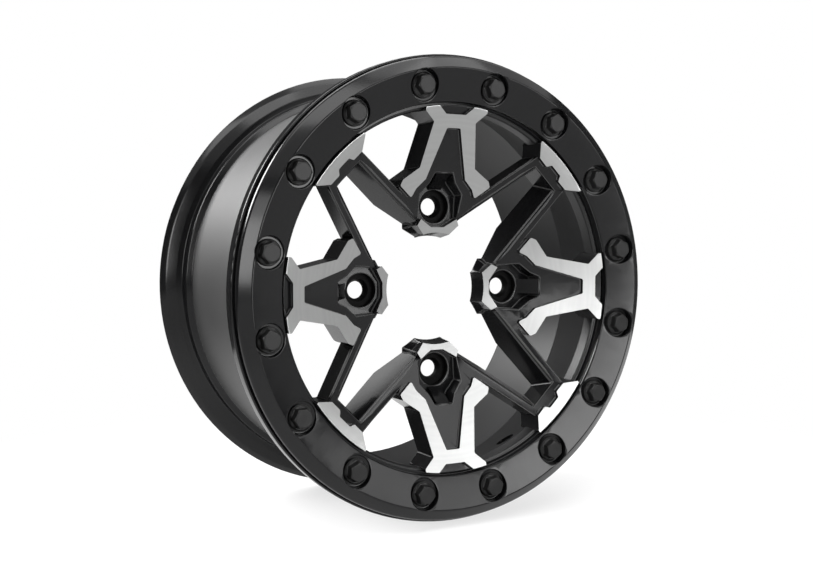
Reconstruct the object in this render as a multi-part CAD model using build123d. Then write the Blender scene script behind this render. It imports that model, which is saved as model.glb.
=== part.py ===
"""Beadlock wheel: a cast wheel, the clamp ring bolted to its front, and the ring bolts."""
import os
from math import cos, hypot, radians, sin, sqrt

from build123d import *

# While a piece is made the wheel axis is Z, the front is +Z and the hub face is at zero.
# The last step turns every piece so the axis is Y and the front faces -Y.

# Wheel layout
spoke_count = 4
spoke_step = 360 / spoke_count
pad_turn = spoke_step / 2
bolt_count = 16
bolt_step = 360 / bolt_count

# Clamp ring
ring_outer_r = 187.4
ring_chamfer_width = 9.7
ring_face_width = 26.4
ring_flat_r = ring_outer_r - ring_chamfer_width
ring_bore_r = ring_flat_r - ring_face_width
ring_front = 58.0
ring_dish = 7.35
ring_edge_front = 50.6
ring_back = 47.0
ring_edge_round = 0.9

# Ring bolts: flanged hexagon heads in axial counterbores
bolt_inset = 21.8
bolt_circle_d = 2 * (ring_outer_r - bolt_inset)
pocket_d = 25.0
pocket_floor = 50.0
bolt_shank_d = 10.0
ring_hole_clearance = 1.0
thread_clearance = 0.2
bolt_length = 16.0
thread_end_gap = 1.5
bolt_flange_d = 20.4
bolt_flange_height = 2.2
bolt_hex_width = 14.0
bolt_hex_turn = 30.0
bolt_head_height = 9.4
hexagon_sides = 6

# Barrel, outer surface from the front backward
seat_outer_r = ring_outer_r - 9.6
bead_root = 42.0
lip_front = 45.0
lip_r = ring_outer_r + 2.3
lip_edge = 0.8
lip_back = 34.0
lip_root_r = lip_r - 23.7
lip_root = 29.0
well_r = lip_r - 31.3
well_front = 24.0
well_back = 13.0
barrel_r = lip_r - 20.4
barrel_front = -22.0
barrel_back = -115.5
rear_seat_toe_r = barrel_r + 5.1
rear_seat_toe = -117.8
rear_seat_heel_r = rear_seat_toe_r + 1.0
rear_seat_heel = -125.4
flange_root_r = rear_seat_heel_r + 4.8
flange_root = -126.6
flange_face_r = flange_root_r + 8.2
flange_face = -130.8
flange_edge_r = flange_face_r + 4.8
flange_edge = -135.2
flange_back = -139.6
flange_back_r = flange_edge_r - 2.6

# Barrel, inner surface from the back forward
flange_inner_r = flange_edge_r - 8.6
flange_hollow_r = flange_edge_r - 20.2
flange_hollow = -131.0
barrel_wall = 6.0
inner_r = barrel_r - barrel_wall
inner_back = -119.0
inner_front = -28.5
inner_lip_r = ring_bore_r - 4.7
inner_lip_back = 30.0
inner_lip_front = 41.0
throat_r = inner_lip_r + 1.8
throat_back = 24.0
ledge_r = ring_bore_r - 2.9
ledge = 43.0
ledge_outer_r = ring_bore_r + 0.5

# Machined face: one shallow cone shared by spokes, rim pads and hub brackets
face_slope = 0.337
face_apex_height = 0.12
face_outer_r = inner_lip_r + 2.4
floor_drop = 3.5
spoke_depth = 27.4
hub_face_r = 86.0
slab_inner_r = 38.0

# How far a cut runs past the surface it opens, and a joined shape into its neighbour
cut_past = 1.0
join = 0.5

# Machined spoke outline, half of it: across the spoke, then out from the axis
notch_half = 9.0
notch_reach = face_outer_r - 7.4
notch_mouth_half = 19.0
notch_mouth_reach = face_outer_r + cut_past
ear_half = 28.6
ear_reach = face_outer_r - 5.6
waist_half = 19.4
waist_reach = face_outer_r - 13.6
knee_half = 26.0
knee_reach = 99.2
foot_top_half = 40.4
foot_top_reach = 89.2
foot_tip_half = 42.4
foot_tip_reach = 84.4
toe_half = 30.0
toe_reach = 75.0
heel_half = 26.5
heel_reach = 82.4
crotch_half = 18.6
crotch_reach = 90.2
slot_half = 6.2
slot_reach = face_outer_r - 18.0
outline_round = 1.5

# Hub bracket around each lug, half outline
bracket_side_half = 19.6
bracket_side_reach = 52.6
bracket_tip_half = 12.6
bracket_tip_reach = 45.3
bracket_end_half = 17.0
bracket_end_reach = 58.0
bracket_inner_half = 6.0
bracket_inner_reach = 51.2
bore_front_r = 46.8
bore_back_r = 44.0
toe_pad_half = 24.6
toe_pad_reach = 49.6
toe_pad_tip_half = 11.6
toe_pad_tip_reach = 42.6
toe_pad_back_reach = 58.0
toe_pad_height = 9.0

# Lug pocket and seat
lug_circle_d = 137.0
pocket_level = 11.9
pocket_shoulder_half = 15.8
pocket_shoulder_reach = 57.2
pocket_end_half = 18.6
pocket_end_reach = 58.8
pocket_wide_half = 19.8
pocket_wide_reach = 78.0
pocket_knee_half = 12.0
pocket_knee_reach = 87.6
pocket_top_half = 8.2
pocket_top_reach = 95.8
ramp_half = 6.2
lug_recess_d = 27.7
lug_recess_floor = 6.0
lug_seat_top_d = 19.0
lug_hole_d = 14.4
lug_land = 2.0

# Diagonal arms from each hub to the rim pads, in plan
arm_start_across = 18.9
arm_start_reach = 56.4
arm_rise = 0.712
arm_end_inset = 13.4
arm_width = 7.2
arm_root = 14.0

# Drafted wall on the open side of each arm, and the bevels along its top
arm_draft = 0.275
arm_draft_top = 1.3
arm_wall_depth = 33.0
arm_bevel_width = 2.0
arm_bevel_drop = 2.2
arm_bevel_start = 3.0
arm_edge_width = 1.4
arm_edge_drop = 1.1
arm_edge_start = 38.0
arm_bevel_end_gap = 2.0

# Rim pads between the spokes, half outline
pad_tip_half = 28.6
pad_tip_reach = face_outer_r - 4.6
pad_foot_half = 18.6
pad_foot_reach = face_outer_r - 12.8
pad_notch_half = 8.6
pad_notch_top_half = 6.0
pad_notch_reach = face_outer_r - 8.7
pad_wall_half = 15.0
pad_wall_reach = face_outer_r - 18.5

# Valve hole through the barrel wall, between the lower spoke and its right pad
valve_turn = 27.0
valve_hole_d = 11.5
valve_spot_d = 17.0
valve_drill_length = 24.0
valve_spot_r = throat_r + 4.0
valve_height = 18.5
valve_tilt = 15.2


def face_height(radius):
    return face_apex_height + face_slope * radius


def turned(points):
    """A solid of revolution from (radius, height) points."""
    return revolve(Plane.XZ * make_face(Polyline(*points, close=True)), Axis.Z)


def both_sides(half):
    """A closed outline from the points of its right half."""
    return half + [(-x, y) for x, y in reversed(half) if x > 0]


def plate(outline, low, high, corner=0.0):
    """A flat outline raised between two heights, with its corners rounded."""
    sketch = make_face(Polyline(*outline, close=True))
    if corner:
        sketch = fillet(sketch.vertices(), corner)
    return extrude(Pos(0, 0, low) * sketch, high - low)


def around(piece, count, first=0.0):
    """Copies of a piece set evenly about the axis."""
    return [Rot(0, 0, first + 360 / count * i) * piece for i in range(count)]


def cone_slab(top_drop, bottom_drop):
    """The layer of the wheel face between two depths under the machined cone."""
    inner_height = face_height(slab_inner_r)
    outer_height = face_height(face_outer_r)
    return turned([
        (slab_inner_r, inner_height - bottom_drop),
        (face_outer_r, outer_height - bottom_drop),
        (face_outer_r, outer_height - top_drop),
        (slab_inner_r, inner_height - top_drop),
    ])


def spoke_body_layer():
    """The painted depth of the spokes, flat on the hub face and following the cone beyond it."""
    return turned([
        (slab_inner_r, 0),
        (hub_face_r, 0),
        (face_outer_r, face_height(face_outer_r) - spoke_depth),
        (face_outer_r, face_height(face_outer_r) - floor_drop),
        (slab_inner_r, face_height(slab_inner_r) - floor_drop),
    ])


def barrel():
    """The rim barrel, with its fixed bead lip in front and its flange behind."""
    return turned([
        (ledge_outer_r, ring_back),
        (seat_outer_r, ring_back),
        (seat_outer_r, bead_root),
        (lip_r - lip_edge, lip_front),
        (lip_r, lip_front - lip_edge),
        (lip_r, lip_back + lip_edge),
        (lip_r - lip_edge, lip_back),
        (lip_root_r, lip_root),
        (well_r, well_front),
        (well_r, well_back),
        (barrel_r, barrel_front),
        (barrel_r, barrel_back),
        (rear_seat_toe_r, rear_seat_toe),
        (rear_seat_heel_r, rear_seat_heel),
        (flange_root_r, flange_root),
        (flange_face_r, flange_face),
        (flange_edge_r, flange_edge),
        (flange_back_r, flange_back),
        (flange_inner_r, flange_back),
        (flange_hollow_r, flange_hollow),
        (inner_r, inner_back),
        (inner_r, inner_front),
        (throat_r, throat_back),
        (inner_lip_r, inner_lip_back),
        (inner_lip_r, inner_lip_front),
        (ledge_r, ledge),
        (ledge_outer_r, ledge),
    ])


def spoke_outline():
    """The right half of the machined spoke outline, from the rim end to the feet."""
    return [
        (notch_half, notch_reach),
        (notch_mouth_half, notch_mouth_reach),
        (ear_half, notch_mouth_reach),
        (ear_half, ear_reach),
        (waist_half, waist_reach),
        (knee_half, knee_reach),
        (foot_top_half, foot_top_reach),
        (foot_tip_half, foot_tip_reach),
        (toe_half, toe_reach),
        (heel_half, heel_reach),
        (crotch_half, crotch_reach),
        (slot_half, slot_reach),
    ]


def arm_point(along, across):
    """A plan point on the right-hand arm: along it from the hub, across it from its inner edge."""
    length = hypot(1, arm_rise)
    step = (1 / length, arm_rise / length)
    return (
        arm_start_across + along * step[0] - across * step[1],
        arm_start_reach + along * step[1] + across * step[0],
    )


def arm_section(along, corners):
    """A triangle across the arm from (across, depth under the machined cone) corners."""
    spine = arm_point(along, 0)
    top = face_height(hypot(*spine))
    points = [(*arm_point(along, across), top - depth) for across, depth in corners]
    return make_face(Polyline(*points, close=True))


def arm_strip(corners, start, end):
    """A straight strip along the arm between two stations."""
    return loft([arm_section(start, corners), arm_section(end, corners)], ruled=True)


def arm_end():
    """How far along the arm it meets the rim pad halfway to the next spoke."""
    diagonal = sqrt(2) * (face_outer_r - arm_end_inset)
    run = (diagonal - arm_start_across - arm_start_reach) / (1 + arm_rise)
    return run * hypot(1, arm_rise)


def spoke_plan():
    """Everything painted on one spoke, seen from the front: web, hub and both arms."""
    web = both_sides([
        (ear_half, notch_mouth_reach),
        (ear_half, ear_reach),
        (waist_half, waist_reach),
        (knee_half, knee_reach),
        (foot_top_half, foot_top_reach),
        (foot_tip_half, foot_tip_reach),
        arm_point(arm_root, 0),
        (arm_start_across, arm_start_reach),
        (bracket_side_half, bracket_side_reach),
        (bracket_tip_half, bracket_tip_reach),
        (bracket_tip_half, slab_inner_r),
    ])
    arm = [
        arm_point(0, 0),
        arm_point(arm_end(), 0),
        arm_point(arm_end(), arm_width),
        arm_point(0, arm_width),
    ]
    left_arm = [(-x, y) for x, y in arm]
    height = face_height(face_outer_r)
    return plate(web, 0, height) + plate(arm, 0, height) + plate(left_arm, 0, height)


def machined_spoke():
    """The raised spoke face, feet and hub bracket of one spoke."""
    height = face_height(face_outer_r) + cut_past
    spoke = plate(both_sides(spoke_outline()), 0, height, outline_round)
    bracket = plate(both_sides([
        (bracket_inner_half, bracket_inner_reach),
        (bracket_end_half, bracket_end_reach),
        (bracket_side_half, bracket_side_reach),
        (bracket_tip_half, bracket_tip_reach),
        (bracket_tip_half, slab_inner_r),
    ]), 0, height)
    return (spoke + bracket) & cone_slab(0, floor_drop + join)


def hub_toe():
    """The wider foot of the hub pad that stands on the hub face."""
    low = both_sides([
        (toe_pad_tip_half, toe_pad_tip_reach),
        (toe_pad_half, toe_pad_reach),
        (toe_pad_half, toe_pad_back_reach),
    ])
    high = both_sides([
        (bracket_tip_half, bracket_tip_reach),
        (bracket_side_half, bracket_side_reach),
        (bracket_side_half, toe_pad_back_reach),
    ])
    low_face = make_face(Polyline(*low, close=True))
    high_face = Pos(0, 0, toe_pad_height) * make_face(Polyline(*high, close=True))
    return loft([low_face, high_face], ruled=True)


def lug_pocket():
    """The space cut around one lug: a faceted pocket, the seat and the stud hole."""
    lug = Pos(0, lug_circle_d / 2, 0)
    outline = both_sides([
        (bracket_inner_half, bracket_inner_reach),
        (pocket_shoulder_half, pocket_shoulder_reach),
        (pocket_end_half, pocket_end_reach),
        (pocket_wide_half, pocket_wide_reach),
        (pocket_knee_half, pocket_knee_reach),
        (pocket_top_half, pocket_top_reach),
    ])
    space = plate(outline, pocket_level, face_height(face_outer_r))
    ramp_foot = (lug_circle_d + lug_recess_d) / 2
    ramp_head = face_height(pocket_top_reach) - floor_drop
    ramp_side = Plane.YZ * make_face(Polyline(
        (ramp_foot, pocket_level),
        (pocket_top_reach + join, pocket_level),
        (pocket_top_reach + join, ramp_head),
        (pocket_top_reach, ramp_head),
        close=True,
    ))
    space -= Pos(-ramp_half, 0, 0) * extrude(ramp_side, 2 * ramp_half, dir=(1, 0, 0))
    recess = Pos(0, 0, lug_recess_floor) * Cylinder(
        lug_recess_d / 2, pocket_level, align=(Align.CENTER, Align.CENTER, Align.MIN)
    )
    seat = Pos(0, 0, lug_land) * Cone(
        lug_hole_d / 2,
        lug_seat_top_d / 2,
        lug_recess_floor - lug_land,
        align=(Align.CENTER, Align.CENTER, Align.MIN),
    )
    hole = Cylinder(lug_hole_d / 2, 2 * (lug_land + cut_past))
    return space + lug * recess + lug * seat + lug * hole


def arm_walls():
    """The drafted material that widens both arms toward the back on their open side."""
    spread = (arm_wall_depth - arm_draft_top) * arm_draft
    corners = [(join, arm_draft_top), (join, arm_wall_depth), (-spread, arm_wall_depth)]
    right = arm_strip(corners, 0, arm_end())
    return [right, mirror(right, Plane.YZ)]


def arm_bevels():
    """The strips cut from the two top edges of both arms."""
    wall_edge = (arm_draft_top - floor_drop - arm_bevel_drop) * arm_draft
    open_side = arm_strip([
        (arm_bevel_width, floor_drop),
        (wall_edge, floor_drop + arm_bevel_drop),
        (wall_edge - arm_bevel_width, floor_drop),
    ], arm_bevel_start, arm_end() - arm_bevel_end_gap)
    window_side = arm_strip([
        (arm_width - arm_edge_width, floor_drop),
        (arm_width, floor_drop + arm_edge_drop),
        (arm_width + arm_edge_width, floor_drop),
    ], arm_edge_start, arm_end() - arm_bevel_end_gap)
    right = open_side + window_side
    return [right, mirror(right, Plane.YZ)]


def one_spoke():
    """A spoke with its hub pad and arms, pointing up."""
    layer = spoke_body_layer()
    body = (spoke_plan() & layer) + [wall & layer for wall in arm_walls()]
    body += hub_toe()
    body += machined_spoke()
    body -= lug_pocket()
    for bevel in arm_bevels():
        body -= bevel
    return body


def one_rim_pad():
    """The pad on the rim where two arms meet, pointing up."""
    block = plate(both_sides([
        (pad_tip_half, face_outer_r + cut_past),
        (pad_tip_half, pad_tip_reach),
        (pad_foot_half, pad_foot_reach),
        (pad_wall_half, pad_wall_reach),
    ]), 0, face_height(face_outer_r)) & spoke_body_layer()
    face = plate(both_sides([
        (pad_tip_half, face_outer_r + cut_past),
        (pad_tip_half, pad_tip_reach),
        (pad_foot_half, pad_foot_reach),
        (pad_notch_half, pad_foot_reach),
        (pad_notch_top_half, pad_notch_reach),
    ]), 0, face_height(face_outer_r) + cut_past, outline_round)
    return block + (face & cone_slab(0, floor_drop + join))


def hub_bore():
    """The tapered opening the hub centre passes through."""
    depth = face_height(bore_front_r)
    growth = (bore_front_r - bore_back_r) / depth
    return turned([
        (0, -cut_past),
        (bore_back_r - growth * cut_past, -cut_past),
        (bore_front_r + growth * ring_front, depth + ring_front),
        (0, depth + ring_front),
    ])


def valve_hole():
    """The valve hole with a flat spot face inside the barrel."""
    inward = (Align.CENTER, Align.CENTER, Align.MAX)
    outward = (Align.CENTER, Align.CENTER, Align.MIN)
    spot = Cylinder(valve_spot_d / 2, valve_drill_length, align=inward)
    hole = Cylinder(valve_hole_d / 2, valve_drill_length, align=outward)
    axis = (cos(radians(valve_tilt)), 0, sin(radians(valve_tilt)))
    drill = Plane((valve_spot_r, 0, valve_height), x_dir=(0, 1, 0), z_dir=axis) * (spot + hole)
    return Rot(0, 0, valve_turn - spoke_step) * drill


def thread_holes():
    depth = bolt_length - (pocket_floor - ring_back) + thread_end_gap
    hole = Pos(bolt_circle_d / 2, 0, ring_back) * Cylinder(
        bolt_shank_d / 2 + thread_clearance / 2,
        depth,
        align=(Align.CENTER, Align.CENTER, Align.MAX),
    )
    return around(hole, bolt_count, bolt_step / 2)


def wheel_casting():
    casting = barrel()
    casting += around(one_spoke(), spoke_count)
    casting += around(one_rim_pad(), spoke_count, pad_turn)
    casting -= hub_bore()
    casting -= thread_holes()
    casting -= valve_hole()
    return casting


def clamp_ring():
    ring = turned([
        (ring_bore_r, ring_back),
        (ring_bore_r, ring_front - ring_dish),
        (ring_flat_r, ring_front),
        (ring_outer_r - ring_edge_round, ring_edge_front + ring_edge_round),
        (ring_outer_r, ring_edge_front - ring_edge_round),
        (ring_outer_r, ring_back),
    ])
    pocket = Pos(bolt_circle_d / 2, 0, pocket_floor) * Cylinder(
        pocket_d / 2, ring_front, align=(Align.CENTER, Align.CENTER, Align.MIN)
    )
    hole = Pos(bolt_circle_d / 2, 0, ring_back) * Cylinder(
        (bolt_shank_d + ring_hole_clearance) / 2, ring_front
    )
    ring -= around(pocket, bolt_count, bolt_step / 2)
    ring -= around(hole, bolt_count, bolt_step / 2)
    return ring


def ring_bolt():
    """One flanged bolt standing on the counterbore floor."""
    upward = (Align.CENTER, Align.CENTER, Align.MIN)
    downward = (Align.CENTER, Align.CENTER, Align.MAX)
    flange = Cylinder(bolt_flange_d / 2, bolt_flange_height, align=upward)
    outline = RegularPolygon(bolt_hex_width / 2, hexagon_sides, major_radius=False)
    shank = Cylinder(bolt_shank_d / 2, bolt_length, align=downward)
    return flange + extrude(outline, bolt_head_height) + shank


def ring_bolts():
    bolt = Pos(bolt_circle_d / 2, 0, pocket_floor) * Rot(0, 0, bolt_hex_turn) * ring_bolt()
    return Compound(children=around(bolt, bolt_count, bolt_step / 2))


def save(name, shape):
    export_step(Rot(90, 0, 0) * shape, f"parts/{name}.step")


os.makedirs("parts", exist_ok=True)
save("wheel_casting", wheel_casting())
save("beadlock_ring", clamp_ring())
save("ring_bolts", ring_bolts())
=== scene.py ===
"""Beadlock wheel: the cast wheel, its clamp ring and the ring bolts, dressed for a studio picture."""
import math

import bmesh
import bpy
from mathutils import Matrix, Vector


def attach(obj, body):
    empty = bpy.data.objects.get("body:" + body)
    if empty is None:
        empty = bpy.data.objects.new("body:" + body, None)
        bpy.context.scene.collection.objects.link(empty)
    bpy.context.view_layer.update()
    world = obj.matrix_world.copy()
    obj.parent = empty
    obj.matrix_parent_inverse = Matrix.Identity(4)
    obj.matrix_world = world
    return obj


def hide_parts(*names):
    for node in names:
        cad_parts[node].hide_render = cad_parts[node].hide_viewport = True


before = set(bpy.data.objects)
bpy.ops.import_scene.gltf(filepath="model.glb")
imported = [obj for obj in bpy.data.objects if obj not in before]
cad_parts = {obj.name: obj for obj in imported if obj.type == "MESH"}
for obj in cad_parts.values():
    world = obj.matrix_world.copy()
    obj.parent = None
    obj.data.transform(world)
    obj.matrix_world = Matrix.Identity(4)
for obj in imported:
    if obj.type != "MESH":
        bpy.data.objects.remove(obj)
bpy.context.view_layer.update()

bl_info = {
    "name": "Beadlock Wheel",
    "version": (1, 0, 0),
    "blender": (4, 5, 0),
    "location": "View3D > Sidebar > Wheel",
    "description": "Dresses a beadlock wheel: casting, clamp ring and ring bolts, with a studio stage",
    "category": "Object",
}

MM = 0.001

# Finishes of the casting, in the order of its materials
# The lug recess finish is a darker copy of the enamel: painted shade in the lug recesses.
# The satin finish is a lighter, more reflective copy of the enamel: painted highlights on the barrel
# outside, rounded spoke edges and recess brims.
ENAMEL, METAL, INSIDE, SATIN_HIGHLIGHT, RECESS_SHADE = range(5)
ENAMEL_ROUGHNESS = 0.15
ENAMEL_INDEX = 1.32

# How near points have to be to count as one, or as lying on a surface
JOIN_DISTANCE = 0.02 * MM
CUT_SLACK = 0.005 * MM
CONE_SLACK = 0.03 * MM
ROUND_SLACK = 0.05 * MM
BRIM_SLACK = 0.15 * MM
LEVEL_SLACK = 0.3 * MM

# How far a recess brim lies over the recess floor at least
BRIM_RISE = 0.5 * MM

# Least angles, in degrees, of edges that are rounded or shaded as creases
ROUNDED_EDGE = 24
BARREL_EDGE = 7
SHADED_CREASE = 38
BACK_CREASE = 8

# Greatest angles, in degrees, between faces that are joined into one
FLAT_JOIN = 0.2
CONE_JOIN = 25

# Degrees between the rulings of the machined cone, and the share of a step before the first
CONE_STEP = 3.0
CONE_START = 0.37

# The studio, in metres, and the camera's lens in millimetres
FLOOR_HEIGHT = -193.2 * MM
FLOOR_RADIUS = 2.2
FLOOR_FORWARD = 1.6
DRAPES_RADIUS = 4.0
DRAPES_HEIGHT = 6.0
STAGE_SEGMENTS = 96
LAMP_DISTANCE = 2.2
CAMERA_PLACE = (-0.44474, -0.79386, 0.04802)
CAMERA_AIM = (0.47119, 0.88011, -0.05817)
CAMERA_LENS = 47.423
CAMERA_SENSOR = 36.0
CAMERA_REACH = 100.0

# Each lamp: azimuth from the front, elevation, width and height in degrees, radiance
LAMPS = {
    "key": (20, 4, 12, 16, 10.5),
    "key_left": (5, 3, 18, 9, 6.5),
    "key_right": (35, 7, 18, 10, 4.2),
    "right": (32, 21, 45, 12, 3.8),
    "right_low": (66, 2, 40, 16, 0.75),
    "left": (-56, 11, 20, 20, 11.0),
    "left_high": (-50, 25, 13, 8, 5.0),
    "top_left": (-40, 62, 44, 18, 5.0),
    "top_right": (45, 60, 40, 20, 2.9),
    "top": (90, 80, 40, 20, 2.6),
    "back_left": (-133, 30, 28, 21, 27.0),
    "back_top": (180, 60, 40, 20, 4.5),
}


class Wire:
    """A socket that takes part in Python arithmetic by adding Math nodes."""

    def __init__(self, finish, socket):
        self.finish = finish
        self.socket = socket

    def math(self, operation, *values):
        sockets = dict(enumerate(values))
        return self.finish.node("ShaderNodeMath", {"operation": operation}, sockets)

    def __add__(self, other):
        return self.math("ADD", self, other)

    def __radd__(self, other):
        return self.math("ADD", other, self)

    def __sub__(self, other):
        return self.math("SUBTRACT", self, other)

    def __rsub__(self, other):
        return self.math("SUBTRACT", other, self)

    def __mul__(self, other):
        return self.math("MULTIPLY", self, other)

    def __rmul__(self, other):
        return self.math("MULTIPLY", other, self)

    def __pow__(self, other):
        return self.math("POWER", self, other)


class Finish:
    """A node tree being written: a material's or the world's."""

    def __init__(self, block):
        block.use_nodes = True
        self.block = block
        self.tree = block.node_tree
        self.tree.nodes.clear()

    def node(self, kind, settings=None, sockets=None, output=0):
        made = self.tree.nodes.new(kind)
        for name, value in (settings or {}).items():
            setattr(made, name, value)
        for key, value in (sockets or {}).items():
            if isinstance(value, Wire):
                self.tree.links.new(value.socket, made.inputs[key])
            else:
                made.inputs[key].default_value = value
        return Wire(self, made.outputs[output]) if made.outputs else None

    def place(self):
        return self.node("ShaderNodeTexCoord", output="Object")

    def noise(self, vector, scale, detail=2.0):
        return self.node(
            "ShaderNodeTexNoise", {}, {"Vector": vector, "Scale": scale, "Detail": detail}
        )

    def ranged(self, value, low, high):
        """A value that runs from 0 to 1 put between two levels."""
        return self.node(
            "ShaderNodeMapRange", {}, {"Value": value, "To Min": low, "To Max": high}
        )

    def blend(self, factor, first, second):
        return self.node(
            "ShaderNodeMix",
            {"data_type": "RGBA"},
            {0: factor, 6: first, 7: second},
            output=2,
        )

    def bump(self, height, depth, strength=1.0):
        sockets = {"Strength": strength, "Distance": depth, "Height": height}
        return self.node("ShaderNodeBump", {}, sockets)

    def surface(self, sockets):
        shader = self.node("ShaderNodeBsdfPrincipled", {}, sockets)
        self.node("ShaderNodeOutputMaterial", {}, {"Surface": shader})
        return self.block


def colour(value, alpha=1.0):
    return (*value, alpha)


def black_enamel(name, tint, roughness, index):
    """A black coat, gloss to matt by its roughness: fine orange peel and a faint uneven sheen."""
    finish = Finish(bpy.data.materials.new(name))
    place = finish.place()
    cloud = finish.noise(place, 22.0, 3.0)
    peel = finish.noise(place, 520.0, 2.0)
    shade = finish.blend(cloud, colour(tint), colour([1.5 * c for c in tint]))
    return finish.surface({
        "Base Color": shade,
        "Roughness": finish.ranged(cloud, roughness - 0.04, roughness + 0.04),
        "IOR": index,
        "Normal": finish.bump(peel, 0.00002, 0.5),
    })


def turned_metal(name, tint, roughness):
    """Bare machined aluminium: fine grooves that run round the wheel axis."""
    finish = Finish(bpy.data.materials.new(name))
    place = finish.place()
    parts = {"Vector": place}
    across = finish.node("ShaderNodeSeparateXYZ", {}, parts, "X")
    upward = finish.node("ShaderNodeSeparateXYZ", {}, parts, "Z")
    radius = (across * across + upward * upward) ** 0.5
    rings = finish.node("ShaderNodeCombineXYZ", {}, {"X": radius})
    fine = finish.noise(rings, 2600.0, 2.0)
    broad = finish.noise(rings, 260.0, 3.0)
    cloud = finish.noise(place, 30.0, 2.0)
    pale = [1.12 * c for c in tint]
    dull = [0.86 * c for c in tint]
    shade = finish.blend(broad, colour(dull), colour(pale))
    return finish.surface({
        "Base Color": shade,
        "Metallic": 1.0,
        "Roughness": finish.ranged(cloud, roughness - 0.04, roughness + 0.05),
        "Normal": finish.bump(fine * 0.6 + broad * 0.4, 0.00003, 0.6),
    })


def blackened_steel(name, tint, roughness):
    """Black plated steel of the bolts, a little worn grey where it is handled."""
    finish = Finish(bpy.data.materials.new(name))
    place = finish.place()
    cloud = finish.noise(place, 140.0, 4.0)
    shade = finish.blend(cloud, colour(tint), colour([1.9 * c for c in tint]))
    return finish.surface({
        "Base Color": shade,
        "Metallic": 0.7,
        "IOR": 1.35,
        "Roughness": finish.ranged(cloud, roughness - 0.06, roughness + 0.08),
        "Normal": finish.bump(finish.noise(place, 900.0, 2.0), 0.00002, 0.4),
    })


class WheelSizes(bpy.types.PropertyGroup):
    """Sizes of the dressed wheel that a user would change."""

    edge_round: bpy.props.FloatProperty(
        name="Spoke edge round", description="Width of the rounded edges of spokes and arms",
        default=0.8 * MM, unit="LENGTH",
    )
    barrel_edge_round: bpy.props.FloatProperty(
        name="Barrel edge round", description="Width of the rounded edges of the barrel",
        default=0.8 * MM, unit="LENGTH",
    )
    rim_radius: bpy.props.FloatProperty(
        name="Rim radius", description="Radius where the spokes end and the barrel begins",
        default=146.0 * MM, unit="LENGTH",
    )
    well_radius: bpy.props.FloatProperty(
        name="Well radius", description="Radius under which the outside of the barrel is satin",
        default=169.6 * MM, unit="LENGTH",
    )
    lug_circle: bpy.props.FloatProperty(
        name="Lug circle", description="Diameter of the circle through the four lugs",
        default=137.0 * MM, unit="LENGTH",
    )
    recess_width: bpy.props.FloatProperty(
        name="Lug recess", description="Diameter of the recess round each lug",
        default=27.7 * MM, unit="LENGTH",
    )
    recess_floor: bpy.props.FloatProperty(
        name="Recess floor", description="Height of the lug recess floor over the hub face",
        default=6.0 * MM, unit="LENGTH",
    )
    brim_round: bpy.props.FloatProperty(
        name="Recess brim", description="Width of the rounded brim of each lug recess",
        default=1.0 * MM, unit="LENGTH",
    )
    ring_edge_round: bpy.props.FloatProperty(
        name="Ring edge round", description="Width of the rounded edges of the clamp ring",
        default=0.9 * MM, unit="LENGTH",
    )
    face_slope: bpy.props.FloatProperty(
        name="Face slope", description="Rise of the machined cone for each unit of radius",
        default=0.337,
    )
    face_apex: bpy.props.FloatProperty(
        name="Face apex", description="Height of the machined cone above the hub face at the axis",
        default=0.12 * MM, unit="LENGTH",
    )
    bolt_circle: bpy.props.FloatProperty(
        name="Bolt circle", description="Diameter of the circle through the ring bolts",
        default=331.2 * MM, unit="LENGTH",
    )
    bolt_floor: bpy.props.FloatProperty(
        name="Counterbore floor", description="Height of the face under the bolt flanges",
        default=50.0 * MM, unit="LENGTH",
    )
    bolt_count: bpy.props.IntProperty(
        name="Bolts", description="Number of bolts round the clamp ring", default=16,
    )
    hexagon_width: bpy.props.FloatProperty(
        name="Hexagon width", description="Size of the bolt hexagon across its flats",
        default=14.0 * MM, unit="LENGTH",
    )
    head_height: bpy.props.FloatProperty(
        name="Head height", description="Height of a bolt head over its counterbore floor",
        default=9.4 * MM, unit="LENGTH",
    )
    flange_width: bpy.props.FloatProperty(
        name="Flange width", description="Diameter of the flange under each bolt head",
        default=20.4 * MM, unit="LENGTH",
    )


class WheelColours(bpy.types.PropertyGroup):
    """Colours of the dressed wheel that a user would change."""

    enamel: bpy.props.FloatVectorProperty(
        name="Enamel", description="Colour of the black enamel on casting and ring",
        subtype="COLOR", default=(0.003, 0.003, 0.0032),
    )
    # Half the enamel's colour: painted shade in the lug recesses.
    recess: bpy.props.FloatVectorProperty(
        name="Lug recess", description="Colour of the matt coat in the lug recesses",
        subtype="COLOR", default=(0.0015, 0.0015, 0.0015),
    )
    # A lighter copy of the enamel colour: painted highlight on the barrel outside, rounded edges and
    # recess brims.
    highlight_satin: bpy.props.FloatVectorProperty(
        name="Satin", description="Colour of the satin coat on barrel outside and rounded edges",
        subtype="COLOR", default=(0.008, 0.008, 0.008),
    )
    metal: bpy.props.FloatVectorProperty(
        name="Machined metal", description="Colour of the bare machined faces",
        subtype="COLOR", default=(0.32, 0.322, 0.32),
    )
    bolts: bpy.props.FloatVectorProperty(
        name="Bolts", description="Colour of the plated bolts",
        subtype="COLOR", default=(0.013, 0.013, 0.013),
    )
    floor: bpy.props.FloatVectorProperty(
        name="Floor", description="Colour of the studio floor",
        subtype="COLOR", default=(0.9, 0.9, 0.9),
    )


def axis_radius(point):
    return math.hypot(point.x, point.z)


def lug_radius(point, circle):
    """How far a point lies from the axis of the nearest of the four lugs."""
    across, upward, reach = abs(point.x), abs(point.z), circle / 2
    return min(math.hypot(across - reach, upward), math.hypot(across, upward - reach))


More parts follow.
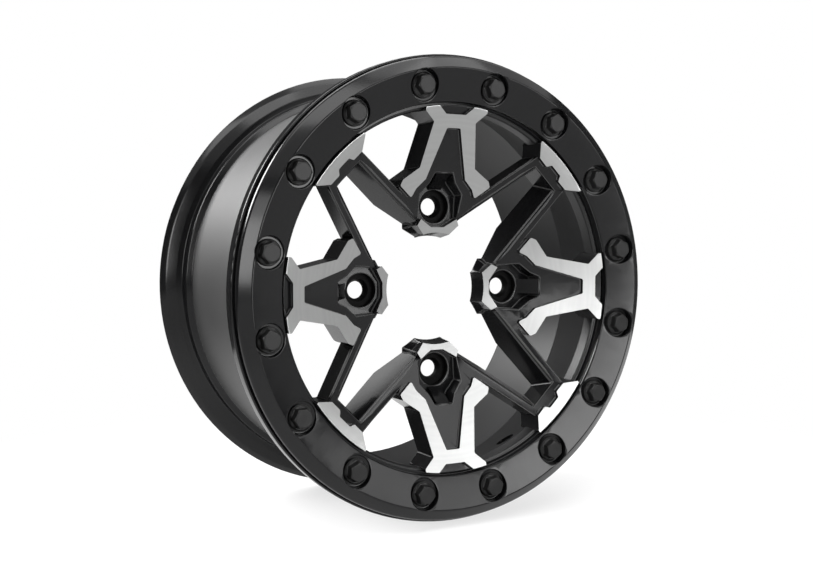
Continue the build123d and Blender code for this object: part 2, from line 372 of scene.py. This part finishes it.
def open_copy(name):
    """A working copy of a solid's mesh, with its loose triangles joined."""
    mesh = bmesh.new()
    mesh.from_mesh(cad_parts[name].data)
    bmesh.ops.remove_doubles(mesh, verts=mesh.verts, dist=JOIN_DISTANCE)
    bmesh.ops.dissolve_degenerate(mesh, edges=mesh.edges, dist=JOIN_DISTANCE)
    return mesh


def edge_radius(edge):
    return axis_radius((edge.verts[0].co + edge.verts[1].co) / 2)


def runs_round(edge):
    """True for an edge that follows a circle about the wheel axis."""
    first, second = edge.verts
    level = abs(first.co.y - second.co.y) < ROUND_SLACK
    return level and abs(axis_radius(first.co) - axis_radius(second.co)) < ROUND_SLACK


def sharper(edge, least):
    """True for an edge whose faces turn by more than an angle in degrees."""
    return edge.is_manifold and edge.calc_face_angle(0) > math.radians(least)


def meets_metal(edge):
    return len({face.material_index == METAL for face in edge.link_faces}) == 2


def creases_back(edge):
    """True for a shallow crease between two faces at the back of the wheel."""
    behind = all(face.normal.y > 0.5 for face in edge.link_faces)
    return behind and sharper(edge, BACK_CREASE)


def touches_metal(edge):
    return any(f.material_index == METAL for vert in edge.verts for f in vert.link_faces)


def round_edges(mesh, edges, width, segments=2):
    """Rounds edges and gives back the new faces."""
    made = bmesh.ops.bevel(
        mesh,
        geom=edges,
        offset=width,
        offset_type="OFFSET",
        affect="EDGES",
        segments=segments,
        profile=0.5,
        material=-1,
        loop_slide=False,
        clamp_overlap=False,
    )
    return made["faces"]


def rule_cone(mesh):
    """Cuts the machined cone along its straight rulings, so that it shades as a cone."""
    def metal():
        return [f for f in mesh.faces if f.material_index == METAL]

    inner = {e for f in metal() for e in f.edges if e.is_manifold and not meets_metal(e)}
    joined = math.radians(CONE_JOIN)
    bmesh.ops.dissolve_limit(mesh, angle_limit=joined, verts=[], edges=list(inner))
    for index in range(round(180 / CONE_STEP)):
        turn = math.radians(CONE_STEP * (index + CONE_START))
        faces = metal()
        edges = {e for f in faces for e in f.edges}
        verts = {v for f in faces for v in f.verts}
        bmesh.ops.bisect_plane(
            mesh,
            geom=[*faces, *edges, *verts],
            dist=CUT_SLACK,
            plane_co=(0, 0, 0),
            plane_no=(math.cos(turn), 0, math.sin(turn)),
        )
    bmesh.ops.triangulate(mesh, faces=metal())


def finish_piece(mesh, name, materials, nodes):
    """Turns a working mesh into a piece that rides on the wheel."""
    for face in mesh.faces:
        face.smooth = True
    for edge in mesh.edges:
        crease = sharper(edge, SHADED_CREASE) or creases_back(edge)
        edge.smooth = not (crease or meets_metal(edge))
    data = bpy.data.meshes.new(name)
    mesh.to_mesh(data)
    mesh.free()
    piece = bpy.data.objects.new(name, data)
    bpy.context.collection.objects.link(piece)
    for material in materials:
        data.materials.append(material)
    even = piece.modifiers.new("Even shading", "WEIGHTED_NORMAL")
    even.keep_sharp = True
    even.weight = 80
    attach(piece, "root")
    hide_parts(*nodes)
    return piece


class WHEEL_OT_casting(bpy.types.Operator):
    """Dress the casting: rounded edges, black enamel and bare machined faces"""

    bl_idname = "wheel.casting"
    bl_label = "Casting"

    def execute(self, context):
        sizes = context.scene.wheel_sizes
        colours = context.scene.wheel_colours
        mesh = open_copy("wheel_casting")
        for face in mesh.faces:
            face.material_index = self.finish_of(face, sizes)
        bmesh.ops.dissolve_limit(
            mesh,
            angle_limit=math.radians(FLAT_JOIN),
            verts=mesh.verts,
            edges=mesh.edges,
            delimit={"MATERIAL"},
        )
        rule_cone(mesh)
        brims = [e for e in mesh.edges if self.is_brim(e, sizes) and not touches_metal(e)]
        # The rounded recess brims get the lighter satin copy of the enamel: a painted highlight ring.
        for face in round_edges(mesh, brims, sizes.brim_round, 3):
            face.material_index = SATIN_HIGHLIGHT
        rim = sizes.rim_radius
        beyond = sizes.recess_width / 2 + 2 * sizes.brim_round
        spokes = [
            e for e in mesh.edges
            if sharper(e, ROUNDED_EDGE) and edge_radius(e) < rim and not touches_metal(e)
            and e.calc_length() > 2 * sizes.edge_round
            and min(lug_radius(v.co, sizes.lug_circle) for v in e.verts) > beyond
        ]
        # The rounded spoke edges get the lighter satin copy of the enamel: painted highlight lines.
        for face in round_edges(mesh, spokes, sizes.edge_round):
            face.material_index = SATIN_HIGHLIGHT
        barrel = [
            e for e in mesh.edges
            if sharper(e, BARREL_EDGE) and edge_radius(e) >= rim and runs_round(e)
        ]
        round_edges(mesh, barrel, sizes.barrel_edge_round)
        enamel = black_enamel("Casting enamel", colours.enamel, ENAMEL_ROUGHNESS, ENAMEL_INDEX)
        metal = turned_metal("Machined face", colours.metal, roughness=0.3)
        inside = black_enamel("Barrel inside", colours.enamel, roughness=0.38, index=1.42)
        # A lighter, more reflective copy of the enamel: painted highlight on the barrel outside,
        # rounded edges and recess brims.
        outside = black_enamel("Barrel outside", colours.highlight_satin, roughness=0.5, index=1.65)
        # A darker, less reflective copy of the enamel: painted shade in the lug recesses.
        recess = black_enamel("Lug recess", colours.recess, roughness=0.5, index=1.14)
        finishes = [enamel, metal, inside, outside, recess]
        finish_piece(mesh, "casting", finishes, ["wheel_casting"])
        return {"FINISHED"}

    def finish_of(self, face, sizes):
        """Which finish a face of the casting has; the recess finish paints shade and the satin finish
        paints highlight.
        """
        on_cone = all(
            abs(v.co.y + sizes.face_apex + sizes.face_slope * axis_radius(v.co)) < CONE_SLACK
            for v in face.verts
        )
        if on_cone and face.normal.y < -0.9:
            return METAL
        middle = face.calc_center_median()
        if lug_radius(middle, sizes.lug_circle) < sizes.recess_width / 2 + ROUND_SLACK:
            # Faces in a lug recess get the darker copy of the enamel: painted shade.
            return RECESS_SHADE if face.normal.y < 0.5 else ENAMEL
        radius = axis_radius(middle)
        outward = (face.normal.x * middle.x + face.normal.z * middle.z) / radius
        least = min(axis_radius(v.co) for v in face.verts)
        if least < sizes.rim_radius or abs(outward) < 0.3:
            return ENAMEL
        if outward < 0:
            return INSIDE
        # The barrel outside below the well radius gets the lighter satin copy of the enamel: a painted
        # highlight.
        return SATIN_HIGHLIGHT if radius < sizes.well_radius else ENAMEL

    def is_brim(self, edge, sizes):
        """True for an edge on the round brim of a lug recess."""
        out = [lug_radius(v.co, sizes.lug_circle) - sizes.recess_width / 2 for v in edge.verts]
        high = all(v.co.y < -(sizes.recess_floor + BRIM_RISE) for v in edge.verts)
        level = abs(edge.verts[0].co.y - edge.verts[1].co.y) < LEVEL_SLACK
        near = max(map(abs, out)) < BRIM_SLACK
        return sharper(edge, ROUNDED_EDGE) and high and level and near


class WHEEL_OT_ring(bpy.types.Operator):
    """Dress the clamp ring: rounded edges and black enamel"""

    bl_idname = "wheel.ring"
    bl_label = "Clamp ring"

    def execute(self, context):
        sizes = context.scene.wheel_sizes
        mesh = open_copy("beadlock_ring")
        bmesh.ops.dissolve_limit(
            mesh, angle_limit=math.radians(FLAT_JOIN), verts=mesh.verts, edges=mesh.edges
        )
        sharp = [e for e in mesh.edges if sharper(e, ROUNDED_EDGE)]
        round_edges(mesh, sharp, sizes.ring_edge_round)
        tint = context.scene.wheel_colours.enamel
        enamel = black_enamel("Ring enamel", tint, ENAMEL_ROUGHNESS, ENAMEL_INDEX)
        finish_piece(mesh, "clamp_ring", [enamel], ["beadlock_ring"])
        return {"FINISHED"}


def hexagon_reach(angle, width):
    """How far a hexagon's side lies from its middle, in a direction."""
    sixth = math.radians(60)
    return width / 2 / math.cos((angle + sixth / 2) % sixth - sixth / 2)


def add_bolt(mesh, sizes):
    """One flanged bolt standing on the plane z = 0, built ring by ring from its crown down."""
    steps = 48
    shank = 5.0 * MM
    tip = 4.2 * MM
    shank_end = -15.0 * MM
    tip_end = -16.0 * MM
    width = sizes.hexagon_width
    top = sizes.head_height
    crown = 0.94 * width / 2
    flange = sizes.flange_width / 2
    first = bmesh.ops.create_circle(
        mesh, cap_ends=False, segments=steps, radius=crown - 0.5 * MM,
        matrix=Matrix.Translation((0, 0, top)),
    )["verts"]
    made = set(first)
    bmesh.ops.contextual_create(mesh, geom=first)
    edges = list({e for v in first for e in v.link_edges})

    def next_ring(reach, height):
        nonlocal edges
        new = bmesh.ops.extrude_edge_only(mesh, edges=edges)["geom"]
        edges = [g for g in new if isinstance(g, bmesh.types.BMEdge)]
        for vert in {v for e in edges for v in e.verts}:
            angle = math.atan2(vert.co.y, vert.co.x)
            out = reach(angle)
            vert.co = (out * math.cos(angle), out * math.sin(angle), height(out))
            made.add(vert)

    def side(angle):
        return hexagon_reach(angle, width)

    def crowned(out):
        return top - 0.35 * MM - 0.5 * max(0.0, out - crown)

    next_ring(lambda a: crown, lambda out: top - 0.15 * MM)
    next_ring(lambda a: side(a) - 0.25 * MM, lambda out: crowned(out) + 0.1 * MM)
    next_ring(side, lambda out: crowned(out) - 0.25 * MM)
    next_ring(side, lambda out: 3.3 * MM)
    next_ring(lambda a: side(a) + 0.35 * MM, lambda out: 2.75 * MM)
    next_ring(lambda a: flange - 1.5 * MM, lambda out: 2.2 * MM)
    next_ring(lambda a: flange - 0.9 * MM, lambda out: 2.35 * MM)
    next_ring(lambda a: flange - 0.25 * MM, lambda out: 2.0 * MM)
    next_ring(lambda a: flange, lambda out: 1.4 * MM)
    next_ring(lambda a: flange, lambda out: 0.0)
    next_ring(lambda a: shank, lambda out: 0.0)
    next_ring(lambda a: shank, lambda out: shank_end)
    next_ring(lambda a: tip, lambda out: tip_end)
    bmesh.ops.contextual_create(mesh, geom=edges)
    return list(made)


class WHEEL_OT_bolts(bpy.types.Operator):
    """Make the flanged bolts that hold the clamp ring"""

    bl_idname = "wheel.bolts"
    bl_label = "Ring bolts"

    def execute(self, context):
        sizes = context.scene.wheel_sizes
        mesh = bmesh.new()
        step = math.tau / sizes.bolt_count
        outward = Matrix.Translation((sizes.bolt_circle / 2, 0, sizes.bolt_floor))
        forward = Matrix.Rotation(math.radians(90), 4, "X")
        for index in range(sizes.bolt_count):
            verts = add_bolt(mesh, sizes)
            turn = Matrix.Rotation(step * (index + 0.5), 4, "Z")
            bmesh.ops.transform(mesh, matrix=forward @ turn @ outward, verts=verts)
        bmesh.ops.recalc_face_normals(mesh, faces=mesh.faces)
        tint = context.scene.wheel_colours.bolts
        steel = blackened_steel("Bolt steel", tint, roughness=0.38)
        finish_piece(mesh, "bolts", [steel], ["ring_bolts"])
        return {"FINISHED"}


def soft_box(name, azimuth, elevation, width, height, radiance):
    """A rectangular lamp aimed at the wheel: its place and size are degrees seen from the hub."""
    lamp = bpy.data.lights.new(name, "AREA")
    lamp.shape = "RECTANGLE"
    lamp.size = 2 * LAMP_DISTANCE * math.tan(math.radians(width / 2))
    lamp.size_y = 2 * LAMP_DISTANCE * math.tan(math.radians(height / 2))
    lamp.energy = radiance * math.pi * lamp.size * lamp.size_y
    turn = math.radians(azimuth)
    lift = math.radians(elevation)
    toward = Vector((
        math.sin(turn) * math.cos(lift), -math.cos(turn) * math.cos(lift), math.sin(lift)
    ))
    made = bpy.data.objects.new(name, lamp)
    made.location = toward * LAMP_DISTANCE
    made.rotation_euler = toward.to_track_quat("Z", "Y").to_euler()
    made.visible_camera = False
    bpy.context.collection.objects.link(made)
    return made


def seen_rays(finish):
    """1 for rays that show a picture of what they meet: from the camera, a mirror or glass."""
    kinds = ("Is Camera Ray", "Is Glossy Ray", "Is Transmission Ray")
    seen = [finish.node("ShaderNodeLightPath", output=kind) for kind in kinds]
    total = seen[0] + seen[1] + seen[2]
    return total.math("MINIMUM", total, 1.0)


def light_world():
    """An even white surround, seen by the camera and open above the drapes."""
    world = bpy.data.worlds.new("Studio")
    bpy.context.scene.world = world
    finish = Finish(world)
    glow = finish.node("ShaderNodeBackground", {}, {"Color": (1, 1, 1, 1), "Strength": 1.0})
    finish.node("ShaderNodeOutputWorld", {}, {"Surface": glow})


def set_stage(mesh, name, material):
    data = bpy.data.meshes.new(name)
    mesh.to_mesh(data)
    mesh.free()
    data.materials.append(material)
    made = bpy.data.objects.new(name, data)
    bpy.context.collection.objects.link(made)
    return made


def hang_drapes():
    """Dark drapes round the set, outside the picture, that keep the black enamel black."""
    mesh = bmesh.new()
    bmesh.ops.create_cone(
        mesh, segments=STAGE_SEGMENTS,
        radius1=DRAPES_RADIUS, radius2=DRAPES_RADIUS, depth=DRAPES_HEIGHT,
    )
    bmesh.ops.translate(mesh, vec=(0, 0, FLOOR_HEIGHT), verts=mesh.verts)
    finish = Finish(bpy.data.materials.new("Studio drapes"))
    cloth = finish.node("ShaderNodeBsdfDiffuse", {}, {"Color": (0.1, 0.1, 0.1, 1)})
    finish.node("ShaderNodeOutputMaterial", {}, {"Surface": cloth})
    drapes = set_stage(mesh, "drapes", finish.block)
    drapes.visible_camera = False


def lay_floor(tint):
    """A round pale floor under and before the wheel, white but for the shadow near the wheel."""
    mesh = bmesh.new()
    bmesh.ops.create_circle(mesh, cap_ends=True, segments=STAGE_SEGMENTS, radius=FLOOR_RADIUS)
    bmesh.ops.translate(mesh, vec=(0, -FLOOR_FORWARD, FLOOR_HEIGHT), verts=mesh.verts)
    finish = Finish(bpy.data.materials.new("Studio floor"))
    matt = finish.node("ShaderNodeBsdfDiffuse", {}, {"Color": colour(tint)})
    glow = finish.node("ShaderNodeEmission", {}, {"Color": (1, 1, 1, 1), "Strength": 1.0})
    length = {"operation": "LENGTH"}
    away = finish.node("ShaderNodeVectorMath", length, {0: finish.place()}, "Value")
    near = {"Value": away, "From Min": 0.3, "From Max": 0.6, "To Min": 0.7, "To Max": 1.0}
    share = seen_rays(finish) * finish.node("ShaderNodeMapRange", {}, near)
    lit = finish.node("ShaderNodeMixShader", {}, {0: share, 1: matt, 2: glow})
    finish.node("ShaderNodeOutputMaterial", {}, {"Surface": lit})
    set_stage(mesh, "floor", finish.block)


def set_camera():
    lens = bpy.data.cameras.new("camera")
    lens.lens = CAMERA_LENS
    lens.sensor_width = CAMERA_SENSOR
    lens.clip_end = CAMERA_REACH
    camera = bpy.data.objects.new("camera", lens)
    camera.location = CAMERA_PLACE
    camera.rotation_euler = Vector(CAMERA_AIM).to_track_quat("-Z", "Y").to_euler()
    bpy.context.collection.objects.link(camera)
    bpy.context.scene.camera = camera


class WHEEL_OT_stage(bpy.types.Operator):
    """Set up the floor, the soft studio light and the camera"""

    bl_idname = "wheel.stage"
    bl_label = "Studio stage"

    def execute(self, context):
        context.scene.view_settings.view_transform = "Standard"
        light_world()
        lay_floor(context.scene.wheel_colours.floor)
        hang_drapes()
        for name, setting in LAMPS.items():
            soft_box(name, *setting)
        set_camera()
        return {"FINISHED"}


class WHEEL_PT_panel(bpy.types.Panel):
    """Lists the steps that dress the wheel"""

    bl_idname = "WHEEL_PT_panel"
    bl_label = "Beadlock Wheel"
    bl_space_type = "VIEW_3D"
    bl_region_type = "UI"
    bl_category = "Wheel"

    def draw(self, context):
        for step in STEPS:
            self.layout.operator(step.bl_idname)
        for group in (context.scene.wheel_sizes, context.scene.wheel_colours):
            for name in group.bl_rna.properties.keys():
                if name not in ("rna_type", "name"):
                    self.layout.prop(group, name)


STEPS = (WHEEL_OT_casting, WHEEL_OT_ring, WHEEL_OT_bolts, WHEEL_OT_stage)
CLASSES = (WheelSizes, WheelColours, *STEPS, WHEEL_PT_panel)


def register():
    for made in CLASSES:
        bpy.utils.register_class(made)
    bpy.types.Scene.wheel_sizes = bpy.props.PointerProperty(type=WheelSizes)
    bpy.types.Scene.wheel_colours = bpy.props.PointerProperty(type=WheelColours)


def unregister():
    del bpy.types.Scene.wheel_colours
    del bpy.types.Scene.wheel_sizes
    for made in reversed(CLASSES):
        bpy.utils.unregister_class(made)


def main():
    register()
    bpy.ops.wheel.casting()
    bpy.ops.wheel.ring()
    bpy.ops.wheel.bolts()
    bpy.ops.wheel.stage()


if __name__ == "__main__":
    main()
